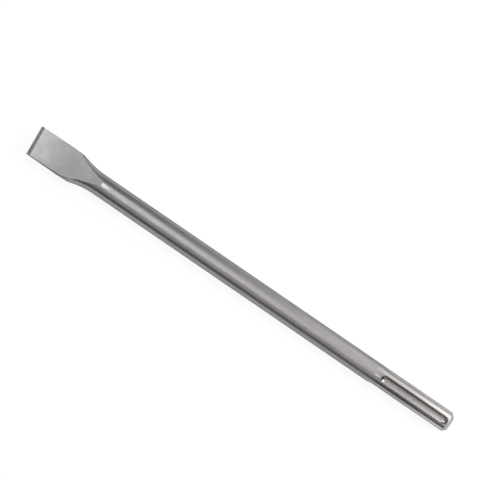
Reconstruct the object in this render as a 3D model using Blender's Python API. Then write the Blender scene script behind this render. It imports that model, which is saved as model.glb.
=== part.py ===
"""Flat chisel for a rotary hammer, forged in one piece from round bar.

The bar lies along X with its cutting edge at -X and its shank end at +X, as it rests on a surface at Z = 0.
The blade is a wedge between two flats that are cut into a widened bar. The shank has two closed locking
grooves, one wide drive slot and two narrow drive slots, both kinds open to the shank end.
All lengths are in metres, all angles in radians. Distances called "from the edge" run from the cutting edge
towards the shank, and distances called "from the end" run from the shank end towards the blade.
"""
import math

import bmesh
import bpy
from mathutils import Matrix, Vector

# Overall size
overall_length = 0.4064
bar_diameter = 0.018
bar_sides = 32

# Blade
blade_width = 0.0254
blade_length = 0.041
flats_length = 0.0648
tip_thickness = 0.0035
edge_half_angle = math.radians(40.0)
edge_skew = math.radians(3.7)
squaring_lead = 0.007
squaring_run = 0.0108
squaring_rise = 0.006
squaring_power = 3.3
squaring_most = 0.021

# Neck between blade and bar
shoulder_angle = math.radians(14.5)
shoulder_corner_radius = 0.006
neck_radius = 0.068
neck_swell = 0.0006
neck_steps = 18

# Shank
end_chamfer = 0.003
groove_turn = math.radians(8.6)

# Closed locking grooves
groove_length = 0.0644
groove_from_end = 0.0035
groove_radius = 0.0042
groove_depth = 0.0033
groove_round_steps = 8

# Open drive slots, each with its angle from the locking groove
slot_depth = 0.0026
slot_cutter_radius = 0.050
wide_slot_width = 0.0070
wide_slot_length = 0.0750
wide_slot_angle = math.radians(-90.0)
narrow_slot_width = 0.0047
narrow_slot_length = 0.0700
narrow_slot_angles = (math.radians(61.0), math.radians(119.0))
wide_slot_flank = math.radians(0.0)
narrow_slot_flank = math.radians(26.0)
slot_runout_steps = 6
cutter_overshoot = 0.004

# Finish of the bare steel
steel_color = (0.46, 0.46, 0.45, 1.0)
steel_roughness = 0.36
sharp_angle = math.radians(25.0)

bar_radius = bar_diameter / 2
axis_height = bar_radius
corner_reach = 1 / math.cos(math.pi / bar_sides)
edge_x = -overall_length / 2
end_x = overall_length / 2
skew_setback = blade_width / 2 * math.tan(edge_skew)
edge_middle_x = edge_x + skew_setback
shoulder_drop = (blade_width - bar_diameter) / 2
neck_tangent = neck_radius * math.tan(shoulder_angle / 2)
corner_tangent = shoulder_corner_radius * math.tan(shoulder_angle / 2)
taper_end = blade_length + shoulder_drop / math.tan(shoulder_angle)
neck_end = taper_end + neck_tangent


def clear_scene():
    """Remove every object of the open file."""
    for item in list(bpy.data.objects):
        bpy.data.objects.remove(item, do_unlink=True)


def arc_sag(distance, radius):
    """How far a circle of that radius falls away from its tangent at a distance from the touch point."""
    return radius - math.sqrt(radius ** 2 - distance ** 2)


def half_width(from_edge):
    """Half the width of the blade, shoulder, taper, neck and bar at a distance from the edge."""
    corner_start = blade_length - corner_tangent
    corner_end = blade_length + corner_tangent * math.cos(shoulder_angle)
    neck_start = taper_end - neck_tangent * math.cos(shoulder_angle)
    if from_edge <= corner_start:
        return blade_width / 2
    if from_edge <= corner_end:
        return blade_width / 2 - arc_sag(from_edge - corner_start, shoulder_corner_radius)
    if from_edge <= neck_start:
        return blade_width / 2 - (from_edge - blade_length) * math.tan(shoulder_angle)
    if from_edge <= neck_end:
        return bar_radius + arc_sag(neck_end - from_edge, neck_radius)
    return bar_radius


def half_height(from_edge):
    """Half the height of the oval that the flats cut.

    It swells a little in the neck. Towards the edge it grows so tall that what is left of it are straight sides.
    """
    swell = neck_swell * min(max((neck_end - from_edge) / (neck_end - blade_length), 0), 1)
    reach = max(blade_length + squaring_lead - from_edge, 0) / squaring_run
    return bar_radius + swell + min(squaring_rise * reach ** squaring_power, squaring_most)


def stations():
    """Where the bar's section is set out, as pairs of position from the edge and end shrinkage."""
    squared = squaring_run * (squaring_most / squaring_rise) ** (1 / squaring_power)
    neck_start = blade_length + squaring_lead - squared
    step = (neck_end - neck_start) / neck_steps
    neck = [neck_start + step * i for i in range(neck_steps + 1)]
    chamfer_start = overall_length - end_chamfer
    return [(0.0, 0.0)] + [(place, 0.0) for place in neck] + [(chamfer_start, 0.0), (overall_length, end_chamfer)]


def shape_ring(ring, from_edge, shrink):
    """Lay a ring's sides against the oval section at a distance from the edge, one side flat on the ground."""
    width = (half_width(from_edge) - shrink) * corner_reach
    height = (half_height(from_edge) - shrink) * corner_reach
    for i, vert in enumerate(ring):
        angle = 2 * math.pi * (i + 0.5) / bar_sides
        vert.co = (edge_x + from_edge, width * math.cos(angle), axis_height + height * math.sin(angle))


def loft_bar(mesh):
    """Loft the forged blank from the edge to the chamfered end, with both ends closed."""
    ring = bmesh.ops.create_circle(mesh, segments=bar_sides, radius=bar_radius)["verts"]
    edges = list(mesh.edges)
    bmesh.ops.contextual_create(mesh, geom=edges)
    places = stations()
    shape_ring(ring, *places[0])
    for place in places[1:]:
        grown = bmesh.ops.extrude_edge_only(mesh, edges=edges)["geom"]
        ring = [item for item in grown if isinstance(item, bmesh.types.BMVert)]
        edges = [edge for edge in grown if isinstance(edge, bmesh.types.BMEdge) and set(edge.verts) <= set(ring)]
        shape_ring(ring, *place)
    bmesh.ops.contextual_create(mesh, geom=edges)
    bmesh.ops.recalc_face_normals(mesh, faces=mesh.faces)


def slice_away(mesh, point, normal):
    """Cut off what lies in front of a plane and close the cut with one flat face."""
    geometry = list(mesh.verts) + list(mesh.edges) + list(mesh.faces)
    cut = bmesh.ops.bisect_plane(mesh, geom=geometry, dist=1e-7, plane_co=point, plane_no=normal, clear_outer=True)
    rim = [item for item in cut["geom_cut"] if isinstance(item, bmesh.types.BMEdge)]
    bmesh.ops.contextual_create(mesh, geom=rim)
    for edge in rim:
        edge.smooth = False


def cut_flats(mesh):
    """Cut the two flats of the wedge, which run out on the bar at the flats' length."""
    rise = bar_radius - tip_thickness / 2
    for side in (1, -1):
        point = Vector((edge_x, 0, axis_height + side * tip_thickness / 2))
        normal = Vector((-rise, 0, side * flats_length)).normalized()
        slice_away(mesh, point, normal)


def grind_edge(mesh):
    """Grind the two bevels that meet in the cutting edge, which is a little off square."""
    point = Vector((edge_middle_x, 0, axis_height))
    for side in (1, -1):
        normal = Vector((-math.sin(edge_half_angle), 0, side * math.cos(edge_half_angle)))
        normal.rotate(Matrix.Rotation(edge_skew, 3, "Z"))
        slice_away(mesh, point, normal)


def shade_round(mesh):
    """Shade the round stretches smooth and keep every corner sharp."""
    for face in mesh.faces:
        face.smooth = True
    for edge in mesh.edges:
        if edge.calc_face_angle(0) > sharp_angle:
            edge.smooth = False


def new_object(name, mesh):
    """Turn a finished bmesh into a named object."""
    data = bpy.data.meshes.new(name)
    mesh.to_mesh(data)
    mesh.free()
    item = bpy.data.objects.new(name, data)
    bpy.context.scene.collection.objects.link(item)
    return item


def shank_turn(angle):
    """Turn about the bar's axis, from straight up to an angle counted from the locking groove."""
    return Matrix.Translation((0, 0, axis_height)) @ Matrix.Rotation(groove_turn - angle, 4, "X")


def groove_reach():
    """How far a round end of the groove's cutter reaches along the bar, at the bar's surface."""
    return math.sqrt(groove_radius ** 2 - (groove_radius - groove_depth) ** 2)


def groove_cutter(name, angle):
    """Round-nosed cutter of a closed locking groove: a half outline with round ends, spun about its own axis."""
    mesh = bmesh.new()
    far = end_x - groove_from_end - groove_reach()
    near = far - groove_length + 2 * groove_reach()
    outline = []
    for centre, start in ((far, 0), (near, math.pi / 2)):
        for i in range(groove_round_steps + 1):
            turn = start + math.pi / 2 * i / groove_round_steps
            outline.append((centre + groove_radius * math.cos(turn), 0, groove_radius * math.sin(turn)))
    verts = [mesh.verts.new(place) for place in outline]
    edges = [mesh.edges.new(pair) for pair in zip(verts, verts[1:])]
    bmesh.ops.spin(mesh, geom=verts + edges, axis=(1, 0, 0), cent=(0, 0, 0), steps=4 * groove_round_steps,
                   angle=2 * math.pi, use_merge=True)
    bmesh.ops.remove_doubles(mesh, verts=mesh.verts, dist=1e-6)
    bmesh.ops.recalc_face_normals(mesh, faces=mesh.faces)
    lift = bar_radius - groove_depth + groove_radius
    mesh.transform(shank_turn(angle) @ Matrix.Translation((0, 0, lift)))
    return new_object(name, mesh)


def slot_cutter(name, angle, width, length, flank):
    """Cutter of an open drive slot, with leaning flanks and a flat floor that runs out in its milling cutter's arc."""
    mesh = bmesh.new()
    floor = bar_radius - slot_depth
    mouth = math.sqrt(bar_radius ** 2 - (width / 2) ** 2)
    top = bar_radius + cutter_overshoot
    runout = math.sqrt(slot_cutter_radius ** 2 - (slot_cutter_radius - slot_depth) ** 2)
    start = end_x - length
    outline = []
    for i in range(slot_runout_steps + 1):
        back = runout * (1 - i / slot_runout_steps)
        outline.append((start + runout - back, floor + arc_sag(back, slot_cutter_radius)))
    outline += [(end_x + cutter_overshoot, floor), (end_x + cutter_overshoot, top)]
    lead = cutter_overshoot * runout / slot_depth
    outline.append((start - lead, top))
    face = mesh.faces.new([mesh.verts.new((x, -width / 2, z)) for x, z in outline])
    grown = bmesh.ops.extrude_face_region(mesh, geom=[face])["geom"]
    moved = [item for item in grown if isinstance(item, bmesh.types.BMVert)]
    bmesh.ops.translate(mesh, vec=(0, width, 0), verts=moved)
    for vert in mesh.verts:
        vert.co.y += math.copysign((vert.co.z - mouth) * math.tan(flank), vert.co.y)
    bmesh.ops.recalc_face_normals(mesh, faces=mesh.faces)
    mesh.transform(shank_turn(angle))
    return new_object(name, mesh)


def cutters():
    """All the tools that cut the shank."""
    made = [groove_cutter("locking_groove_cutter_%d" % (i + 1), math.pi * i) for i in range(2)]
    made.append(slot_cutter("wide_slot_cutter", wide_slot_angle, wide_slot_width, wide_slot_length,
                            wide_slot_flank))
    for i, angle in enumerate(narrow_slot_angles):
        made.append(slot_cutter("narrow_slot_cutter_%d" % (i + 1), angle, narrow_slot_width, narrow_slot_length,
                                narrow_slot_flank))
    for cutter in made:
        cutter.hide_render = True
        cutter.display_type = "WIRE"
    return made


def steel():
    """Bare forged steel, blasted to a satin grey."""
    material = bpy.data.materials.new("forged_steel")
    material.use_nodes = True
    shader = material.node_tree.nodes["Principled BSDF"]
    shader.inputs["Base Color"].default_value = steel_color
    shader.inputs["Metallic"].default_value = 1.0
    shader.inputs["Roughness"].default_value = steel_roughness
    material.diffuse_color = steel_color
    return material


def flat_chisel():
    """The chisel itself: forged blank, flats, ground edge, then the shank's grooves and slots."""
    mesh = bmesh.new()
    loft_bar(mesh)
    cut_flats(mesh)
    grind_edge(mesh)
    bmesh.ops.recalc_face_normals(mesh, faces=mesh.faces)
    shade_round(mesh)
    chisel = new_object("flat_chisel", mesh)
    chisel.data.materials.append(steel())
    for cutter in cutters():
        cut = chisel.modifiers.new(cutter.name, "BOOLEAN")
        cut.operation = "DIFFERENCE"
        cut.solver = "EXACT"
        cut.object = cutter
    return chisel


clear_scene()
flat_chisel()
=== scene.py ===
"""Flat hammer chisel: the finished skin of the forged and ground bar, with its floor, light and camera."""

import math

import bmesh
import bpy
from bpy.props import FloatProperty, FloatVectorProperty, IntProperty, PointerProperty
from bpy.types import Operator, Panel, PropertyGroup
from mathutils import Matrix, Vector


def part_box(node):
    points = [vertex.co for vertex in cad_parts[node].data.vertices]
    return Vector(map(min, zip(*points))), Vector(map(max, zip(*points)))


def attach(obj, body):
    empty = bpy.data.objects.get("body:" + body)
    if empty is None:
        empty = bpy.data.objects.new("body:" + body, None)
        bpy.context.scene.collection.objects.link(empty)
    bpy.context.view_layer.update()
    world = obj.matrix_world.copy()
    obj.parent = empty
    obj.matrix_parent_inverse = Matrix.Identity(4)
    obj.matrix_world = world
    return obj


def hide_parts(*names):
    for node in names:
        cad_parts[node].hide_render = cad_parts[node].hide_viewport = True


bl_info = {
    "name": "Flat Hammer Chisel",
    "version": (1, 0, 0),
    "blender": (4, 5, 0),
    "location": "3D View > Sidebar > Chisel",
    "description": "A forged flat chisel with its ground shank, its drive slots and locking grooves, on a pale floor",
    "category": "Object",
}

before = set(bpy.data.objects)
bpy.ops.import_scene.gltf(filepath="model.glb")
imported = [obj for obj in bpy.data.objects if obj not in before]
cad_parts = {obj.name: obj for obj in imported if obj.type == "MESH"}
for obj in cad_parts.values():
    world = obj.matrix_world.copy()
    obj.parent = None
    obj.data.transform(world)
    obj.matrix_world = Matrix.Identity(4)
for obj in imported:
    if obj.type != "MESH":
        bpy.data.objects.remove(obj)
cad_low, cad_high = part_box("flat_chisel")
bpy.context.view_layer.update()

overall_length = cad_high.x - cad_low.x
blade_width = cad_high.y - cad_low.y
bar_radius = (cad_high.z - cad_low.z) / 2
axis_height = cad_low.z + bar_radius
edge_x = cad_low.x
end_x = cad_high.x

ground_length = 0.0750
finishes = ("blasted_steel", "dressed_flat", "ground_shank", "milled_cut", "ground_edge")
rounding_shares = (1 / 3, 2 / 3, 1)
merge_distance = 1e-6
crease_angle = math.radians(16)

# The picture's width, and where the middle of the bar's axis stands right of and below the picture's middle.
picture_pixels = 480
middle_pixel = (2.07, 42.14)


def length(name, description, default):
    """A size in metres that a user can change."""
    return FloatProperty(name=name, description=description, default=default, min=0.0, precision=5,
                         unit="LENGTH", subtype="DISTANCE")


def extent(name, description, default):
    """A size along each axis, in metres, that a user can change."""
    return FloatVectorProperty(name=name, description=description, default=default, size=3, min=0.0, precision=5,
                               unit="LENGTH", subtype="XYZ_LENGTH")


def tally(name, description, default):
    """A number of rings that a user can change."""
    return IntProperty(name=name, description=description, default=default, min=1)


def angle(name, description, degrees):
    """An angle that a user can change."""
    return FloatProperty(name=name, description=description, default=math.radians(degrees), unit="ROTATION",
                         subtype="ANGLE")


def color(name, description, default):
    """A colour that a user can change."""
    return FloatVectorProperty(name=name, description=description, default=default, size=4, min=0.0, max=1.0,
                               subtype="COLOR")


def share(name, description, default, highest=1.0):
    """A plain number that a user can change."""
    return FloatProperty(name=name, description=description, default=default, min=0.0, max=highest)


def power(name, description, default):
    """A lamp's strength in watts."""
    return FloatProperty(name=name, description="Strength of the " + description, default=default, min=0.0,
                         unit="POWER")


class ChiselBlade(PropertyGroup):
    """Sizes of the blade and of the neck behind it."""
    straight: length("Straight length", "Length of the straight blade sides", 0.041)
    flats: length("Flats length", "Length of the two flats from the edge to where they run out", 0.0648)
    tip: length("Tip thickness", "Thickness that the two flats leave at the edge", 0.0035)
    grind: angle("Grind", "Angle of each ground bevel from the middle plane", 40.0)
    skew: angle("Skew", "How far the ground edge is off square", 3.7)
    shoulder: angle("Shoulder angle", "Angle at which the sides narrow behind the blade", 14.5)
    shoulder_corner: length("Shoulder corner radius", "Radius where the straight side turns into the shoulder", 0.006)
    neck: length("Neck radius", "Radius where the shoulder runs into the bar", 0.068)
    swell: length("Neck swell", "How much taller than the bar the neck is forged", 0.0006)
    squaring_lead: length("Squaring lead", "Where behind the straight sides the section starts to square up", 0.007)
    squaring_run: length("Squaring run", "Length over which it squares up", 0.0108)
    squaring_rise: length("Squaring rise", "Height that the oval gains over that length", 0.006)
    squaring_power: share("Squaring power", "How suddenly it squares up", 3.3, 6.0)
    squaring_most: length("Squaring limit", "Height that the oval gains at most", 0.021)
    rim: length("Rim rounding", "Rounding of the rims between flats and sides", 0.0005)


class ChiselShank(PropertyGroup):
    """Sizes of the ground shank."""
    ground: length("Ground length", "Length of the ground shank", ground_length)
    chamfer: length("End chamfer", "Chamfer of the struck end", 0.003)
    turn: angle("Groove turn", "Turn of the grooves away from straight above the blade's flats", 8.6)
    rim: length("Rim rounding", "Rounding of the shank's edges", 0.00008)
    groove_length: length("Groove length", "Length of a locking groove", 0.0644)
    groove_land: length("Land before the end", "From a groove to the struck end", 0.0035)
    groove_radius: length("Groove radius", "Radius of the groove's round section", 0.0042)
    groove_depth: length("Groove depth", "Depth of a groove", 0.0033)
    slot_depth: length("Slot depth", "Depth of the drive slots", 0.0026)
    slot_runout: length("Run-out radius", "Radius of the milling cutter at the slots' run-outs", 0.050)
    wide_width: length("Wide slot width", "Width of the wide drive slot", 0.0070)
    wide_length: length("Wide slot length", "Length of the wide drive slot", 0.0750)
    wide_angle: angle("Wide slot angle", "From the upper groove over +Y to the wide slot", 270.0)
    wide_flank: angle("Wide slot flank", "How far the wide slot's flanks lean outwards", 0.0)
    narrow_width: length("Narrow slot width", "Width of the two narrow drive slots", 0.0047)
    narrow_length: length("Narrow slot length", "Length of the two narrow drive slots", 0.0700)
    narrow_angle: angle("Narrow slot angle", "From each groove to its narrow slot", 61.0)
    narrow_flank: angle("Narrow slot flank", "How far the narrow slots' flanks lean outwards", 26.0)


class ChiselMesh(PropertyGroup):
    """How finely the skin is divided."""
    column: angle("Column spacing", "Turn from one lengthwise line of the bar's skin to the next", 2.0)
    straight_rings: tally("Straight rings", "Rings along the blade's straight sides", 6)
    shoulder_rings: tally("Shoulder rings", "Rings along the shoulder, to where the flats run out", 60)
    bar_rings: tally("Bar rings", "Rings along the plain bar", 8)
    runout_rings: tally("Run-out rings", "Rings along a slot's run-out", 26)
    chamfer_rings: tally("Chamfer rings", "Rings along a slot in the end's chamfer", 13)
    groove_rings: tally("Groove rings", "Rings round a groove's end", 16)
    bowl_loops: tally("Bowl loops", "Loops from a groove's rim to its deepest line", 10)
    corner_rings: tally("Corner rings", "Rings over the chamfer's rounded corner", 5)


class ChiselFinish(PropertyGroup):
    """Colours, roughness and marks of the steel, with its painted glints and painted sheen."""
    blasted: color("Blasted steel", "Colour of the blasted blade and bar", (0.312, 0.312, 0.308, 1.0))
    cool: color("Cool cast", "Colour of the cooler patches on the flats", (0.308, 0.307, 0.316, 1.0))
    edge_tone: share("Edge tone", "Tone of the flats at the cutting edge", 0.97)
    back_tone: share("Back tone", "Tone of the flats where the edge's lighter tone has faded", 0.63)
    tone_fade: length("Tone fade", "Length over which the flats' tone fades", 0.036)
    blasted_roughness: share("Blasted roughness", "Roughness of the blasted steel", 0.32)
    grain_size: length("Grain size", "Size of the grain that blasting leaves", 0.0005)
    grain_depth: length("Grain depth", "Depth of the grain", 0.00002)
    grain_strength: share("Grain strength", "Strength of the grain", 0.3)
    ground: color("Ground steel", "Colour of the ground shank", (0.325, 0.322, 0.318, 1.0))
    ground_roughness: share("Ground roughness", "Roughness of the ground steel", 0.21)
    milled_roughness: share("Milled roughness", "Roughness of the milled grooves and slots", 0.27)
    grazing: color("Grazing tint", "Tint of the steel's gloss at a low angle", (0.40, 0.40, 0.40, 1.0))
    ground_start: length("Ground start", "From the cutting edge to where the ground finish starts",
                         overall_length - ground_length)
    ground_fade: length("Ground fade", "Length over which the ground finish starts", 0.010)
    # Painted sheen: the ground shank and its cuts are painted lighter towards the struck end.
    sheen_start: length("Painted sheen start", "From the struck end to where it starts to be rubbed lighter", 0.050)
    sheen_stop: length("Painted sheen stop", "From the struck end to where it is rubbed the most", 0.003)
    end_shine: share("End shine", "How much lighter the ground steel is rubbed at the struck end", 1.5, 3.0)
    cut_shine: share("Cut shine", "How much lighter the grooves and slots are rubbed at the struck end", 1.2, 3.0)
    # Painted glint: the blasted steel is painted lighter in a spot where the upper flat runs out.
    tip_glint_place: length("Tip glint place", "From the cutting edge to the mark where the upper flat runs out", 0.0653)
    tip_glint_aside: length("Tip glint offset", "From the bar's crown to that mark", 0.0003)
    tip_glint_reach: extent("Tip glint reach", "How far it reaches from its middle", (0.0095, 0.0022, 0.003))
    tip_glint_shine: share("Tip glint shine", "How much lighter its middle is", 1.9, 3.0)
    # Painted glint: the ground steel is painted lighter in a short streak ahead of the upper groove.
    groove_glint_place: length("Groove glint place", "From the struck end to the mark ahead of the upper groove", 0.0719)
    groove_glint_turn: angle("Groove glint turn", "Turn of that mark from the bar's crown", 10.0)
    groove_glint_reach: extent("Groove glint reach", "How far it reaches from its middle", (0.0032, 0.0008, 0.002))
    groove_glint_shine: share("Groove glint shine", "How much lighter its middle is", 2.2, 3.0)
    edge: color("Ground edge", "Colour of the ground cutting edge", (0.30, 0.30, 0.29, 1.0))
    edge_roughness: share("Edge roughness", "Roughness of the ground cutting edge", 0.60)


class ChiselStage(PropertyGroup):
    """Floor, light and camera."""
    floor: color("Floor colour", "Colour of the floor", (0.95, 0.95, 0.95, 1.0))
    floor_size: length("Floor size", "Side of the square floor", 40.0)
    white: share("White share", "How much of the floor shows plain white, where the rest keeps the shadow", 0.90)
    walls: color("Room colour", "Colour of the room above the horizon", (0.08, 0.08, 0.08, 1.0))
    end_wall: color("End wall colour", "Colour of the room's pale wall beyond the blade", (0.40, 0.40, 0.40, 1.0))
    box_distance: length("Softbox distance", "From the bar's axis to the softboxes", 1.0)
    blade_box: power("Blade softbox", "softbox beyond the blade on the +Y side", 2.92)
    top_box: power("Overhead softbox", "softbox straight above the blade", 2.69)
    far_box: power("Far softbox", "wide softbox high on the -Y side", 1.85)
    near_box: power("Near softbox", "weak softbox high on the +Y side", 0.62)
    shank_box: power("Shank softbox", "softbox high beyond the shank", 9.4)
    strip_box: power("Strip light", "narrow strip light just past the top on the -Y side", 0.22)
    wall_box: power("Wall softbox", "tall narrow softbox on the +Y side", 2.81)
    side_box: power("Side softbox", "faint low softbox beyond the shank on the -Y side", 0.62)
    end_box: power("End softbox", "low softbox beyond the shank's end", 12.7)
    low_box: power("Low softbox", "low softbox beyond the cutting edge", 5.0)
    tilt: angle("Lean", "Lean of the view from straight above towards the blade and towards -Y", 7.0)
    roll: angle("Roll", "Slope of the bar in the picture", 34.40)
    distance: length("Distance", "From the camera to the chisel", 8.0)
    width: length("Picture width", "Width of the picture at the chisel's distance", 0.384)


def arc_sag(distance, radius):
    """How far a circle of that radius falls away from its tangent at a distance from the touch point."""
    return radius - math.sqrt(max(radius ** 2 - distance ** 2, 0))


def soft_ramp(distance, rounding):
    """Distance past a corner, zero before it, with the corner rounded over that distance on both sides."""
    if abs(distance) < rounding:
        return (distance + rounding) ** 2 / (4 * rounding)
    return max(distance, 0)


def spread(start, stop, count):
    """Evenly spaced values from start to stop, both included."""
    return [start + (stop - start) * i / count for i in range(count + 1)]


def crowded(stop, start, count):
    """Values from start to stop, both included, that crowd towards the stop."""
    return [stop + (start - stop) * (i / count) ** 2 for i in range(count + 1)]


def rounded(outer, corner, inner, along):
    """Point on the rounding of a corner, from the outer point to the inner one."""
    return outer * (1 - along) ** 2 + corner * 2 * along * (1 - along) + inner * along ** 2


class Neck:
    """Section of the forged blank at any distance from the cutting edge."""

    def __init__(self, blade):
        self.blade = blade
        turn = math.tan(blade.shoulder / 2)
        drop = blade_width / 2 - bar_radius
        self.corner_start = blade.straight - blade.shoulder_corner * turn
        self.corner_end = blade.straight + blade.shoulder_corner * turn * math.cos(blade.shoulder)
        taper_end = blade.straight + drop / math.tan(blade.shoulder)
        self.neck_start = taper_end - blade.neck * turn * math.cos(blade.shoulder)
        self.end = taper_end + blade.neck * turn
        squared = blade.squaring_run * (blade.squaring_most / blade.squaring_rise) ** (1 / blade.squaring_power)
        self.start = blade.straight + blade.squaring_lead - squared

    def half_width(self, place):
        """Half the width of blade, shoulder, neck and bar."""
        if place <= self.corner_start:
            return blade_width / 2
        if place <= self.corner_end:
            return blade_width / 2 - arc_sag(place - self.corner_start, self.blade.shoulder_corner)
        if place <= self.neck_start:
            return blade_width / 2 - (place - self.blade.straight) * math.tan(self.blade.shoulder)
        if place <= self.end:
            return bar_radius + arc_sag(self.end - place, self.blade.neck)
        return bar_radius

    def half_height(self, place):
        """Half the height of the oval that the flats cut."""
        blade = self.blade
        swell = blade.swell * min(max((self.end - place) / (self.end - blade.straight), 0), 1)
        reach = max(blade.straight + blade.squaring_lead - place, 0) / blade.squaring_run
        return bar_radius + swell + min(blade.squaring_rise * reach ** blade.squaring_power, blade.squaring_most)


class Flat:
    """One of the two flats of the wedge, in its own frame: across the blade and up from the axis."""
    round_ends = False
    crisp_rim = False
    crisp_floor = False

    def __init__(self, blade, rings, middle, neck):
        self.blade = blade
        self.middle = middle
        self.neck = neck
        self.finish = "dressed_flat"
        self.turn = 0.0
        self.start = 0.0
        self.end = blade.flats
        self.places = spread(0, neck.start, rings.straight_rings)
        self.places += crowded(self.end, neck.start, rings.shoulder_rings)

    def section(self, place):
        """The rim's outer, sharp and inner points at a place along the blade."""
        width = self.neck.half_width(place)
        height = self.neck.half_height(place)
        level = self.blade.tip / 2 + (bar_radius - self.blade.tip / 2) * place / self.blade.flats
        rim = math.acos(min(level / height, 1))
        corner = Vector((width * math.sin(rim), level))
        softness = min(self.blade.rim, corner.x * 0.5)
        outer = rim + softness / math.hypot(width * math.cos(rim), height * math.sin(rim))
        return outer, (Vector((width * math.sin(outer), height * math.cos(outer))), corner,
                       corner - Vector((softness, 0)))

    def opening(self, place):
        """Half the angle over which the forged skin is cut away."""
        return self.section(place)[0] if place < self.end else 0.0

    def steps(self):
        """One function for each loop between the rim and the flat."""
        return [lambda place, across, along=along: (place, rounded(*self.section(place)[1], along))
                for along in rounding_shares]


class Slot:
    """An open drive slot, in its own frame: across the slot and up from the axis."""
    round_ends = False
    crisp_rim = True
    crisp_floor = True

    def __init__(self, shank, rings, middle, width, run, flank):
        self.shank = shank
        self.middle = middle
        self.finish = "milled_cut"
        self.turn = shank.turn
        self.lean = math.tan(flank)
        self.foot = width / 2 - math.sqrt(bar_radius ** 2 - (width / 2) ** 2) * self.lean
        self.floor = bar_radius - shank.slot_depth
        self.start = overall_length - run
        self.runout = math.sqrt(shank.slot_runout ** 2 - (shank.slot_runout - shank.slot_depth) ** 2)
        corner = overall_length - shank.chamfer
        self.end = corner + shank.slot_depth
        self.places = crowded(self.start, self.start + self.runout, rings.runout_rings)
        self.places += crowded(self.end, corner, rings.chamfer_rings)
        # The flanks vanish at one place on the run-out and at one on the chamfer, so a ring stands at each.
        flank_top = self.mouth(bar_radius).y - self.floor
        flank_foot = Vector((self.foot + self.lean * self.floor, self.floor)).length
        self.places.append(self.start + self.runout
                           - math.sqrt(shank.slot_runout ** 2 - (shank.slot_runout - flank_top) ** 2))
        self.places.append(corner + bar_radius - flank_foot)

    def level(self, place):
        """Height of the slot's floor above the axis."""
        back = max(self.start + self.runout - place, 0)
        return self.floor + arc_sag(back, self.shank.slot_runout)

    def mouth(self, radius):
        """Where a leaning flank leaves a bar of that radius."""
        slope = 1 + self.lean ** 2
        cross = self.foot * self.lean
        height = (math.sqrt(max(cross ** 2 - slope * (self.foot ** 2 - radius ** 2), 0)) - cross) / slope
        return Vector((self.foot + self.lean * height, height))

    def section(self, place):
        """The rim's outer, sharp and inner points and the floor's corner at a place along the shank."""
        radius = shank_radius(self.shank, place)
        level = self.level(place)
        corner = self.mouth(radius)
        if corner.y < level:
            corner = Vector((math.sqrt(max(radius ** 2 - level ** 2, 0)), min(level, radius)))
        softness = min(self.shank.rim, corner.x)
        outer = math.atan2(corner.x, corner.y) + softness / radius
        foot = Vector((min(self.foot + self.lean * level, corner.x), level))
        wall = (foot - corner).length
        if wall > softness:
            inner = corner.lerp(foot, softness / wall)
        else:  # The rounding is wider than the wall is high, so it ends on the floor.
            foot = Vector((foot.x - (softness - wall), level))
            inner = foot
        return outer, (Vector((radius * math.sin(outer), radius * math.cos(outer))), corner, inner), foot

    def opening(self, place):
        """Half the angle over which the ground skin is cut away."""
        return self.section(place)[0] if self.start < place < self.end else 0.0

    def steps(self):
        """One function for each loop between the rim and the slot's floor."""
        made = [lambda place, across, along=along: (place, rounded(*self.section(place)[1], along))
                for along in rounding_shares]
        return made + [lambda place, across: (place, self.section(place)[2])]


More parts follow.
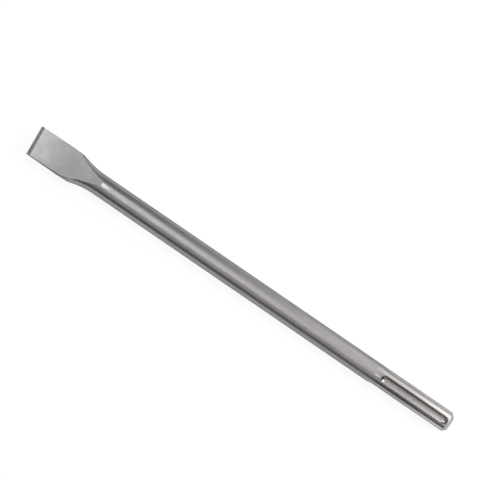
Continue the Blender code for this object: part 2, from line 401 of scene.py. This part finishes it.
class Groove:
    """A closed locking groove with round ends, in its own frame: across the groove and up from the axis."""
    round_ends = True
    crisp_rim = True
    crisp_floor = False

    def __init__(self, shank, rings, middle):
        self.shank = shank
        self.middle = middle
        self.finish = "milled_cut"
        self.turn = shank.turn
        self.lift = bar_radius - shank.groove_depth + shank.groove_radius
        self.reach = self.rim(0)[0] + shank.rim
        self.half = self.rim(math.pi / 2)[0] + shank.rim
        self.far = overall_length - shank.groove_land - self.rim(0)[0]
        self.near = self.far - shank.groove_length + 2 * self.rim(0)[0]
        self.start = self.near - self.reach
        self.end = self.far + self.reach
        turns = spread(0, math.pi / 2, rings.groove_rings)
        self.places = [self.near - self.reach * math.cos(turn) for turn in turns]
        self.places += [self.far + self.reach * math.cos(turn) for turn in turns]
        self.loops = rings.bowl_loops

    def rim(self, heading):
        """Where the round-nosed cut leaves the bar: plan distance, height and angle from the deepest point."""
        radius = self.shank.groove_radius
        across = radius ** 2 * math.sin(heading) ** 2
        reach = self.lift ** 2 + across - bar_radius ** 2
        root = math.sqrt((self.lift * radius) ** 2 - (radius * math.cos(heading)) ** 2 * reach)
        cosine = reach / (self.lift * radius + root)
        steep = math.acos(cosine)
        return radius * math.sin(steep), self.lift - radius * cosine, steep

    def outline(self, place):
        """Half the width at which the ground skin ends beside the groove."""
        past = max(self.near - place, place - self.far, 0)
        return self.half * math.sqrt(max(1 - (past / self.reach) ** 2, 0))

    def opening(self, place):
        """Half the angle over which the ground skin is cut away."""
        return math.asin(self.outline(place) / bar_radius) if self.start < place < self.end else 0.0

    def loop_point(self, place, across, along):
        """Point of a loop round the groove, from its rim (0 to 1) down to its deepest line (1 to 2)."""
        middle = min(max(place, self.near), self.far)
        heading = math.atan2(abs(across), abs(place - middle))
        distance, height, steep = self.rim(heading)
        radius = self.shank.groove_radius
        steep_in = steep - self.shank.rim / radius
        if along <= 1:
            ahead, aside = math.cos(heading), math.sin(heading)
            out = self.reach * self.half / math.hypot(self.half * ahead, self.reach * aside)
            outer = Vector((out, math.sqrt(bar_radius ** 2 - (out * aside) ** 2)))
            inner = Vector((radius * math.sin(steep_in), self.lift - radius * math.cos(steep_in)))
            plan, level = rounded(outer, Vector((distance, height)), inner, along)
        else:
            steep_now = steep_in * (2 - along)
            plan, level = radius * math.sin(steep_now), self.lift - radius * math.cos(steep_now)
        forward = math.copysign(math.cos(heading) * plan, place - middle)
        return middle + forward, Vector((math.sin(heading) * plan, level))

    def steps(self):
        """One function for each loop between the rim and the groove's deepest line."""
        down = [1 + (i + 1) / self.loops for i in range(self.loops)]
        return [lambda place, across, along=along: self.loop_point(place, across, along)
                for along in (*rounding_shares, *down)]


def shank_radius(shank, place):
    """Radius of the bar, less what the end's chamfer takes."""
    return bar_radius - soft_ramp(place - (overall_length - shank.chamfer), shank.rim)


def end_corner(shank):
    """Places and radii of the rings that round the struck end's outer corner."""
    corner = Vector((overall_length, bar_radius - shank.chamfer))
    before = corner + Vector((-shank.rim, shank.rim))
    after = corner + Vector((0, -shank.rim))
    return [tuple(rounded(before, corner, after, along)) for along in (0, *rounding_shares)]


class Blank:
    """The forged and turned bar with its cuts, as the loft needs it."""

    def __init__(self, scene):
        self.shank = scene.chisel_shank
        self.mesh = scene.chisel_mesh
        self.blade = scene.chisel_blade
        self.neck = Neck(self.blade)
        shank, rings, top, underside = self.shank, self.mesh, 0.0, math.pi
        wide = (shank.wide_width, shank.wide_length, shank.wide_flank)
        narrow = (shank.narrow_width, shank.narrow_length, shank.narrow_flank)
        self.flats = [Flat(self.blade, rings, middle, self.neck) for middle in (top, underside)]
        self.slots = [Slot(shank, rings, shank.wide_angle, *wide),
                      Slot(shank, rings, shank.narrow_angle, *narrow),
                      Slot(shank, rings, underside - shank.narrow_angle, *narrow)]
        self.grooves = [Groove(shank, rings, middle) for middle in (top, underside)]
        self.ground_start = overall_length - shank.ground
        middles = sorted({cut.middle for cut in self.cuts()}) + [2 * math.pi]
        self.lands = [(start, stop, max(round((stop - start) / self.mesh.column), 1))
                      for start, stop in zip(middles, middles[1:])]

    def cuts(self):
        """Every cut into the blank."""
        return self.flats + self.slots + self.grooves

    def rings(self):
        """Every ring of the skin: its place, and its radius at the struck end's corner."""
        corner = overall_length - self.shank.chamfer
        places = {0.0, self.ground_start}
        for cut in self.cuts():
            places.update(cut.places)
        places.update(spread(self.blade.flats, self.ground_start, self.mesh.bar_rings))
        places.update(spread(corner - self.shank.rim, corner + self.shank.rim, self.mesh.corner_rings))
        last = overall_length - self.shank.rim
        return [(place, None) for place in sorted(places) if place < last] + end_corner(self.shank)

    def turns(self, place):
        """Angles of a ring's corners, counted from the top towards +Y, with every land spread evenly."""
        flat = self.flats[0].opening(place)
        squeeze = 1 - 2 * flat / math.pi
        gaps = {}
        for cut in self.slots + self.grooves:
            gaps[cut.middle] = max(gaps.get(cut.middle, 0.0), cut.opening(place))
        gaps[2 * math.pi] = gaps[0.0]
        found = []
        for start, stop, count in self.lands:
            half = math.pi * math.floor(start / math.pi)
            first = half + flat + (start - half) * squeeze + gaps[start]
            last = half + flat + (stop - half) * squeeze - gaps[stop]
            found += spread(first, last, count)
        return found

    def shape(self, ring, place, radius):
        """Lay a ring's corners on the blank's section at a place."""
        progress = (place - self.blade.flats) / (self.ground_start - self.blade.flats)
        turn = self.shank.turn * min(max(progress, 0), 1)
        if place < self.blade.flats:
            width, height = self.neck.half_width(place), self.neck.half_height(place)
        else:
            width = height = radius or shank_radius(self.shank, place)
        for vert, around in zip(ring, self.turns(place)):
            around -= turn
            vert.co = (edge_x + place, width * math.sin(around), axis_height + height * math.cos(around))


def only(kind, items):
    """Those of a mesh's elements that are of one kind."""
    return [item for item in items if isinstance(item, kind)]


def loft_skin(mesh, blank):
    """Loft the blank ring by ring, with a lid over every cut that is numbered in the layer 'lid'."""
    column = mesh.verts.layers.int.new("column")
    lid = mesh.faces.layers.int.new("lid")
    lids = {}
    count = 0
    for number, (_, _, columns) in enumerate(blank.lands):
        count += columns + 1
        lids[count - 1] = number + 1
    ring = bmesh.ops.create_circle(mesh, segments=count, radius=bar_radius)["verts"]
    for number, vert in enumerate(ring):
        vert[column] = number
    edges = list(mesh.edges)
    bmesh.ops.contextual_create(mesh, geom=edges)
    rings = blank.rings()
    blank.shape(ring, *rings[0])
    for place, radius in rings[1:]:
        grown = bmesh.ops.extrude_edge_only(mesh, edges=edges)["geom"]
        ring = sorted(only(bmesh.types.BMVert, grown), key=lambda vert: vert[column])
        edges = [edge for edge in only(bmesh.types.BMEdge, grown) if set(edge.verts) <= set(ring)]
        blank.shape(ring, place, radius)
        for face in only(bmesh.types.BMFace, grown):
            columns = sorted({vert[column] for vert in face.verts})
            if columns == [0, count - 1]:
                face[lid] = lids[count - 1]
            elif columns[0] in lids:
                face[lid] = lids[columns[0]]
    bmesh.ops.contextual_create(mesh, geom=edges)
    bmesh.ops.remove_doubles(mesh, verts=mesh.verts, dist=merge_distance)


def mark_outline(region):
    """Keep the outline of some faces crisp where the shading is smoothed."""
    inside = set(region)
    for edge in {edge for face in region for edge in face.edges}:
        if not inside.issuperset(edge.link_faces):
            edge.smooth = False


def work_cut(mesh, cut, lid_number):
    """Work a cut down from its lid: each loop is extruded and laid where the cut's section says."""
    lid = mesh.faces.layers.int["lid"]
    heading = cut.middle - cut.turn
    to_cut = Matrix.Rotation(heading, 3, "X")
    axis = Vector((0, 0, axis_height))
    region = [face for face in mesh.faces
              if face[lid] == lid_number and cut.start < face.calc_center_median().x - edge_x < cut.end]
    if cut.crisp_rim:
        mark_outline(region)
    for step in cut.steps():
        grown = bmesh.ops.extrude_face_region(mesh, geom=region)["geom"]
        bmesh.ops.delete(mesh, geom=region, context="FACES")
        region = only(bmesh.types.BMFace, grown)
        for edge in only(bmesh.types.BMEdge, grown):
            edge.smooth = True
        for face in {face for vert in only(bmesh.types.BMVert, grown) for face in vert.link_faces}:
            face.material_index = finishes.index(cut.finish)
        for vert in only(bmesh.types.BMVert, grown):
            local = to_cut @ (vert.co - axis)
            place, point = step(local.x - edge_x, local.y)
            side = math.copysign(1, local.y) if abs(local.y) > merge_distance else 0
            if side or cut.round_ends:
                moved = Vector((place + edge_x, side * point.x, point.y))
                vert.co = to_cut.transposed() @ moved + axis
    if cut.crisp_floor:
        mark_outline(region)


def grind_edge(mesh, blade):
    """Grind the two bevels that meet in the cutting edge, which is a little off square."""
    point = Vector((edge_x + blade_width / 2 * math.tan(blade.skew), 0, axis_height))
    for side in (1, -1):
        normal = Vector((-math.sin(blade.grind), 0, side * math.cos(blade.grind)))
        normal.rotate(Matrix.Rotation(blade.skew, 3, "Z"))
        geometry = list(mesh.verts) + list(mesh.edges) + list(mesh.faces)
        cut = bmesh.ops.bisect_plane(mesh, geom=geometry, dist=merge_distance, plane_co=point, plane_no=normal,
                                     clear_outer=True)
        rim = only(bmesh.types.BMEdge, cut["geom_cut"])
        for face in bmesh.ops.contextual_create(mesh, geom=rim)["faces"]:
            face.material_index = finishes.index("ground_edge")
        for edge in rim:
            edge.smooth = False


def grind_shank(mesh, blank):
    """Give the shank's skin its ground finish."""
    for face in mesh.faces:
        if face.calc_center_median().x - edge_x > blank.ground_start:
            face.material_index = finishes.index("ground_shank")


def fill(tree, node, inputs):
    """Link a node's inputs to what is made by other nodes, and set the others."""
    for name, value in inputs.items():
        if isinstance(value, bpy.types.NodeSocket):
            tree.links.new(value, node.inputs[name])
        else:
            node.inputs[name].default_value = value


def new_node(tree, kind, inputs, **settings):
    """Add a node with its inputs and its other settings."""
    node = tree.nodes.new(kind)
    for name, value in settings.items():
        setattr(node, name, value)
    fill(tree, node, inputs)
    return node


def new_material(name, grazing):
    """An empty metal material: its tree, its shader and its Object coordinates."""
    material = bpy.data.materials.new(name)
    material.use_nodes = True
    tree = material.node_tree
    shader = tree.nodes["Principled BSDF"]
    fill(tree, shader, {"Metallic": 1.0, "Specular Tint": grazing})
    coordinates = tree.nodes.new("ShaderNodeTexCoord").outputs["Object"]
    return material, tree, shader, coordinates


def noise(tree, coordinates, size, detail=2.0, stretch=(1, 1, 1)):
    """Noise whose blotches are about that size, stretched along the axes."""
    mapped = new_node(tree, "ShaderNodeMapping", {"Vector": coordinates, "Scale": stretch}).outputs["Vector"]
    made = new_node(tree, "ShaderNodeTexNoise", {"Vector": mapped, "Scale": 1 / size, "Detail": detail})
    return made.outputs["Fac"]


def ramp(tree, value, start, stop, low=0.0, high=1.0, kind="SMOOTHSTEP"):
    """A value that runs from low to high while another runs from start to stop."""
    made = new_node(tree, "ShaderNodeMapRange", {"Value": value, "From Min": start, "From Max": stop,
                                                 "To Min": low, "To Max": high}, interpolation_type=kind)
    return made.outputs["Result"]


def varied(tree, noise_value, swing, middle=1.0):
    """A value that the noise swings to both sides of its middle."""
    lowest, highest = 0.3, 0.7  # Nearly all of a noise lies between these.
    return ramp(tree, noise_value, lowest, highest, middle - swing, middle + swing, "LINEAR")


def along_bar(tree, coordinates, start, stop, low=0.0, high=1.0):
    """A value that runs smoothly from low to high between two places along the bar."""
    place = new_node(tree, "ShaderNodeSeparateXYZ", {"Vector": coordinates}).outputs["X"]
    return ramp(tree, place, start, stop, low, high)


def combined(tree, operation, first, second):
    """What a mathematical operation makes of two values."""
    return new_node(tree, "ShaderNodeMath", {0: first, 1: second}, operation=operation).outputs["Value"]


def times(tree, first, second):
    """The product of two values."""
    return combined(tree, "MULTIPLY", first, second)


def painted_glint_spot(tree, coordinates, middle, reach, shine):
    """Painted highlight: a value that rises from one to the shine at the middle of a spot with that reach along each
    axis.
    """
    spot = new_node(tree, "ShaderNodeMapping", {"Vector": coordinates, "Location": middle, "Scale": reach},
                    vector_type="TEXTURE")
    fade = new_node(tree, "ShaderNodeTexGradient", {"Vector": spot.outputs["Vector"]}, gradient_type="SPHERICAL")
    return ramp(tree, fade.outputs["Fac"], 0.0, 1.0, 1.0, shine, "LINEAR")


def blended(tree, factor, first, second):
    """A colour that runs from the first to the second with a value."""
    return new_node(tree, "ShaderNodeMix", {"Factor": factor, "A": first, "B": second},
                    data_type="RGBA").outputs["Result"]


def paint(tree, shader, steel, tone, roughness):
    """Give the shader a colour, made darker or lighter by a value, and a roughness."""
    toned = new_node(tree, "ShaderNodeVectorMath", {0: steel, "Scale": tone}, operation="SCALE")
    fill(tree, shader, {"Base Color": toned.outputs["Vector"], "Roughness": roughness})


def blast(tree, shader, coordinates, finish):
    """The fine grain that blasting leaves."""
    grain = noise(tree, coordinates, finish.grain_size, 3.0)
    bump = new_node(tree, "ShaderNodeBump", {"Height": grain, "Strength": finish.grain_strength,
                                             "Distance": finish.grain_depth})
    fill(tree, shader, {"Normal": bump.outputs["Normal"]})


def painted_end_sheen(tree, coordinates, finish, shine):
    """Painted sheen: how much lighter the shank is painted towards the struck end, where it is lightest."""
    return along_bar(tree, coordinates, end_x - finish.sheen_start, end_x - finish.sheen_stop, 1.0, shine)


def tip_painted_glint(tree, coordinates, finish):
    """Painted glint: how much lighter the blasted steel is painted just behind the point where the upper flat runs
    out.
    """
    middle = (edge_x + finish.tip_glint_place, finish.tip_glint_aside, axis_height + bar_radius)
    return painted_glint_spot(tree, coordinates, middle, finish.tip_glint_reach, finish.tip_glint_shine)


def groove_painted_glint(tree, coordinates, finish):
    """Painted glint: how much lighter the ground steel is painted in a short streak ahead of the upper groove."""
    middle = (end_x - finish.groove_glint_place, -bar_radius * math.sin(finish.groove_glint_turn),
              axis_height + bar_radius * math.cos(finish.groove_glint_turn))
    return painted_glint_spot(tree, coordinates, middle, finish.groove_glint_reach, finish.groove_glint_shine)


def blasted_steel(finish):
    """Forged steel blasted to a fine matt grain, a little cloudy."""
    material, tree, shader, coordinates = new_material("blasted_steel", finish.grazing)
    clouds = noise(tree, coordinates, size=0.016, detail=3.0)
    patches = noise(tree, coordinates, size=0.005)
    tone = times(tree, varied(tree, clouds, swing=0.05), varied(tree, patches, swing=0.03))
    # Painted glint where the upper flat runs out.
    tone = times(tree, tone, tip_painted_glint(tree, coordinates, finish))
    roughness = varied(tree, clouds, swing=-0.02, middle=finish.blasted_roughness)
    paint(tree, shader, finish.blasted[:3], tone, roughness)
    blast(tree, shader, coordinates, finish)
    return material


def dressed_flat(finish):
    """Flats of the blade, dressed and blasted, lighter towards the edge and cloudy, with cooler patches."""
    material, tree, shader, coordinates = new_material("dressed_flat", finish.grazing)
    clouds = noise(tree, coordinates, size=0.011)
    patches = noise(tree, coordinates, size=0.004)
    lighter = along_bar(tree, coordinates, edge_x, edge_x + finish.tone_fade, finish.edge_tone, finish.back_tone)
    tone = times(tree, varied(tree, clouds, swing=0.08), varied(tree, patches, swing=0.04))
    casts = varied(tree, noise(tree, coordinates, size=0.014, detail=1.0), swing=0.5, middle=0.5)
    steel = blended(tree, casts, finish.blasted, finish.cool)
    roughness = varied(tree, clouds, swing=-0.02, middle=finish.blasted_roughness)
    paint(tree, shader, steel, times(tree, lighter, tone), roughness)
    blast(tree, shader, coordinates, finish)
    return material


def ground_shank(finish):
    """Shank ground round, with fine lines about the axis, which starts softly from the blasted bar."""
    material, tree, shader, coordinates = new_material("ground_shank", finish.grazing)
    start = edge_x + finish.ground_start
    full = start + finish.ground_fade
    lines = noise(tree, coordinates, size=0.004, detail=1.0, stretch=(8, 1, 1))
    steel = blended(tree, along_bar(tree, coordinates, start, full), finish.blasted, finish.ground)
    # Painted sheen towards the struck end, times a painted glint ahead of the upper groove.
    painted = times(tree, painted_end_sheen(tree, coordinates, finish, finish.end_shine),
                   groove_painted_glint(tree, coordinates, finish))
    roughness = along_bar(tree, coordinates, start, full, finish.blasted_roughness, finish.ground_roughness)
    paint(tree, shader, steel, times(tree, painted, varied(tree, lines, swing=0.02)),
          times(tree, roughness, varied(tree, lines, swing=0.03)))
    return material


def milled_cut(finish):
    """Grooves and slots milled along the shank."""
    material, tree, shader, coordinates = new_material("milled_cut", finish.grazing)
    lines = noise(tree, coordinates, size=0.006, stretch=(1, 12, 12))
    # Painted sheen towards the struck end.
    painted = painted_end_sheen(tree, coordinates, finish, finish.cut_shine)
    paint(tree, shader, finish.ground[:3], times(tree, painted, varied(tree, lines, swing=0.015)),
          varied(tree, lines, swing=0.005, middle=finish.milled_roughness))
    return material


def ground_edge(finish):
    """Cutting edge ground across, dark and mottled."""
    material, tree, shader, coordinates = new_material("ground_edge", finish.grazing)
    lines = noise(tree, coordinates, size=0.0016, detail=3.0, stretch=(0.5, 1, 1))
    paint(tree, shader, finish.edge[:3], varied(tree, lines, swing=0.38), finish.edge_roughness)
    return material


class OBJECT_OT_chisel_steel(Operator):
    """Make the finishes of the steel"""
    bl_idname = "object.chisel_steel"
    bl_label = "Steel finishes"

    def execute(self, context):
        for make in (blasted_steel, dressed_flat, ground_shank, milled_cut, ground_edge):
            make(context.scene.chisel_finish)
        return {"FINISHED"}


class OBJECT_OT_chisel_bar(Operator):
    """Loft the forged bar, cut its flats, slots and grooves and grind its edge"""
    bl_idname = "object.chisel_bar"
    bl_label = "Forged chisel"

    def execute(self, context):
        blank = Blank(context.scene)
        mesh = bmesh.new()
        loft_skin(mesh, blank)
        grind_shank(mesh, blank)
        lid_numbers = {stop % (2 * math.pi): number + 1 for number, (_, stop, _) in enumerate(blank.lands)}
        for cut in blank.cuts():
            work_cut(mesh, cut, lid_numbers[cut.middle])
        bmesh.ops.remove_doubles(mesh, verts=mesh.verts, dist=merge_distance)
        grind_edge(mesh, blank.blade)
        bmesh.ops.recalc_face_normals(mesh, faces=mesh.faces)
        data = bpy.data.meshes.new("forged_chisel")
        for face in mesh.faces:
            face.smooth = True
        for edge in mesh.edges:
            edge.smooth = edge.smooth and edge.calc_face_angle(0) < crease_angle
        mesh.to_mesh(data)
        mesh.free()
        for name in finishes:
            data.materials.append(bpy.data.materials[name])
        chisel = bpy.data.objects.new("forged_chisel", data)
        context.scene.collection.objects.link(chisel)
        weighted = chisel.modifiers.new("even_shading", "WEIGHTED_NORMAL")
        weighted.keep_sharp = True
        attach(chisel, "root")
        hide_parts("flat_chisel")
        return {"FINISHED"}


def view_frame(stage):
    """The camera's axes: right and up in the picture and back towards the camera."""
    lean = math.sin(stage.tilt)
    back = Vector((-lean, -lean, math.sqrt(1 - 2 * lean ** 2)))
    along = Vector((1, 0, 0))
    along = (along - back * along.dot(back)).normalized()
    beside = back.cross(along)
    right = along * math.cos(stage.roll) + beside * math.sin(stage.roll)
    return right, back.cross(right), back


class OBJECT_OT_chisel_camera(Operator):
    """Set up the camera above the chisel"""
    bl_idname = "object.chisel_camera"
    bl_label = "Camera"

    def execute(self, context):
        stage = context.scene.chisel_stage
        right, up, back = view_frame(stage)
        data = bpy.data.cameras.new("camera")
        data.lens = data.sensor_width * stage.distance / stage.width
        camera = bpy.data.objects.new("camera", data)
        context.scene.collection.objects.link(camera)
        pixel = stage.width / picture_pixels
        middle = Vector((0, 0, axis_height)) - right * middle_pixel[0] * pixel + up * middle_pixel[1] * pixel
        camera.matrix_world = Matrix.Translation(middle + back * stage.distance) @ \
            Matrix((right, up, back)).transposed().to_4x4()
        context.scene.camera = camera
        return {"FINISHED"}


def facing(place):
    """Turn that makes a lamp at a place face the origin, with its width along the bar."""
    back = place.normalized()
    along = Vector((1, 0, 0))
    along = (along - back * along.dot(back)).normalized()
    return Matrix((along, back.cross(along), back)).transposed()


def white_for_views(tree, amount, shader):
    """Mix in plain white light for the camera and for reflections, so the floor shows pale and keeps the shadow."""
    rays = tree.nodes.new("ShaderNodeLightPath").outputs
    seen = combined(tree, "MAXIMUM", rays["Is Camera Ray"], rays["Is Glossy Ray"])
    seen = combined(tree, "MAXIMUM", seen, rays["Is Transmission Ray"])
    white = new_node(tree, "ShaderNodeEmission", {"Color": (1.0, 1.0, 1.0, 1.0), "Strength": 1.0})
    return new_node(tree, "ShaderNodeMixShader", {"Fac": times(tree, seen, amount), 1: shader,
                                                  2: white.outputs["Emission"]}).outputs["Shader"]


class OBJECT_OT_chisel_stage(Operator):
    """Set up the floor, the room and the softboxes"""
    bl_idname = "object.chisel_stage"
    bl_label = "Floor and light"

    # Each softbox's strength setting, place along the bar, elevation from the +Y side in degrees, size along and
    # around the bar, and tint.
    softboxes = (
        ("blade_box", -0.45, 64.0, (0.60, 0.32), (1.0, 1.0, 0.98)),
        ("top_box", -0.28, 86.0, (0.94, 0.62), (1.0, 1.0, 0.98)),
        ("far_box", 0.22, 118.0, (0.80, 1.10), (1.0, 0.95, 0.94)),
        ("near_box", 0.30, 64.0, (0.90, 0.32), (1.0, 0.98, 0.96)),
        ("shank_box", 0.84, 73.0, (0.82, 0.62), (1.0, 0.93, 0.96)),
        ("strip_box", 0.25, 104.0, (0.60, 0.10), (1.0, 0.97, 0.97)),
        ("wall_box", 0.41, 28.0, (0.47, 0.94), (1.0, 0.95, 0.95)),
        ("side_box", 0.75, 156.0, (0.70, 0.50), (1.0, 0.95, 0.97)),
        ("end_box", 1.40, 28.0, (0.60, 0.60), (1.0, 0.97, 0.98)),
        ("low_box", -0.80, 10.0, (0.80, 0.30), (1.0, 1.0, 0.97)),
    )

    # The heights over which the horizon blurs, and the headings along X between which the end wall turns pale.
    horizon = (0.0, 0.02)
    pale_from = (-0.4, -0.85)

    def execute(self, context):
        stage = context.scene.chisel_stage
        self.floor(context, stage)
        for name, along, elevation, size, tint in self.softboxes:
            data = bpy.data.lights.new(name, "AREA")
            data.shape = "RECTANGLE"
            data.size, data.size_y = size
            data.energy = getattr(stage, name)
            data.color = tint
            lamp = bpy.data.objects.new(name, data)
            up, out = math.sin(math.radians(elevation)), math.cos(math.radians(elevation))
            place = Vector((along, out * stage.box_distance, up * stage.box_distance))
            lamp.matrix_world = Matrix.Translation(place) @ facing(place).to_4x4()
            lamp.visible_camera = False
            context.scene.collection.objects.link(lamp)
        self.room(context, stage)
        context.scene.view_settings.view_transform = "Standard"
        return {"FINISHED"}

    def floor(self, context, stage):
        """Lay the pale floor."""
        mesh = bmesh.new()
        bmesh.ops.create_grid(mesh, x_segments=1, y_segments=1, size=stage.floor_size / 2)
        data = bpy.data.meshes.new("floor")
        mesh.to_mesh(data)
        mesh.free()
        floor = bpy.data.objects.new("floor", data)
        context.scene.collection.objects.link(floor)
        material = bpy.data.materials.new("pale_floor")
        material.use_nodes = True
        tree = material.node_tree
        shader = tree.nodes["Principled BSDF"]
        fill(tree, shader, {"Base Color": stage.floor, "Roughness": 1.0, "Specular IOR Level": 0.0})
        surface = white_for_views(tree, stage.white, shader.outputs["BSDF"])
        fill(tree, tree.nodes["Material Output"], {"Surface": surface})
        data.materials.append(material)

    def room(self, context, stage):
        """Surround the floor with its own colour up to the horizon and a dark room with one pale wall above."""
        world = bpy.data.worlds.new("room")
        context.scene.world = world
        world.use_nodes = True
        tree = world.node_tree
        direction = tree.nodes.new("ShaderNodeTexCoord").outputs["Generated"]
        heading = new_node(tree, "ShaderNodeSeparateXYZ", {"Vector": direction}).outputs
        walls = blended(tree, ramp(tree, heading["X"], *self.pale_from), stage.walls, stage.end_wall)
        room = blended(tree, ramp(tree, heading["Z"], *self.horizon), stage.floor, walls)
        fill(tree, tree.nodes["Background"], {"Color": room})


class VIEW3D_PT_chisel(Panel):
    """The chisel's sizes and steps in the sidebar"""
    bl_idname = "VIEW3D_PT_chisel"
    bl_label = "Flat chisel"
    bl_space_type = "VIEW_3D"
    bl_region_type = "UI"
    bl_category = "Chisel"

    def draw(self, context):
        for name, operators in panel_rows:
            box = self.layout.box()
            settings = getattr(context.scene, name)
            for entry in settings.bl_rna.properties.keys():
                if entry not in ("rna_type", "name"):
                    box.prop(settings, entry)
            for operator in operators:
                box.operator(operator)


groups = {"chisel_blade": ChiselBlade, "chisel_shank": ChiselShank, "chisel_mesh": ChiselMesh,
          "chisel_finish": ChiselFinish, "chisel_stage": ChiselStage}
panel_rows = [("chisel_blade", []), ("chisel_shank", []), ("chisel_mesh", ["object.chisel_bar"]),
              ("chisel_finish", ["object.chisel_steel"]),
              ("chisel_stage", ["object.chisel_camera", "object.chisel_stage"])]
classes = (OBJECT_OT_chisel_steel, OBJECT_OT_chisel_bar, OBJECT_OT_chisel_camera, OBJECT_OT_chisel_stage,
           VIEW3D_PT_chisel)


def register():
    """Register the settings, the operators and the panel."""
    for name, group in groups.items():
        bpy.utils.register_class(group)
        setattr(bpy.types.Scene, name, PointerProperty(type=group))
    for item in classes:
        bpy.utils.register_class(item)


def unregister():
    """Take the panel, the operators and the settings away again."""
    for item in reversed(classes):
        bpy.utils.unregister_class(item)
    for name, group in reversed(groups.items()):
        delattr(bpy.types.Scene, name)
        bpy.utils.unregister_class(group)


def main():
    """Build the chisel and its stage."""
    register()
    bpy.ops.object.chisel_camera()
    bpy.ops.object.chisel_steel()
    bpy.ops.object.chisel_bar()
    bpy.ops.object.chisel_stage()


if __name__ == "__main__":
    main()
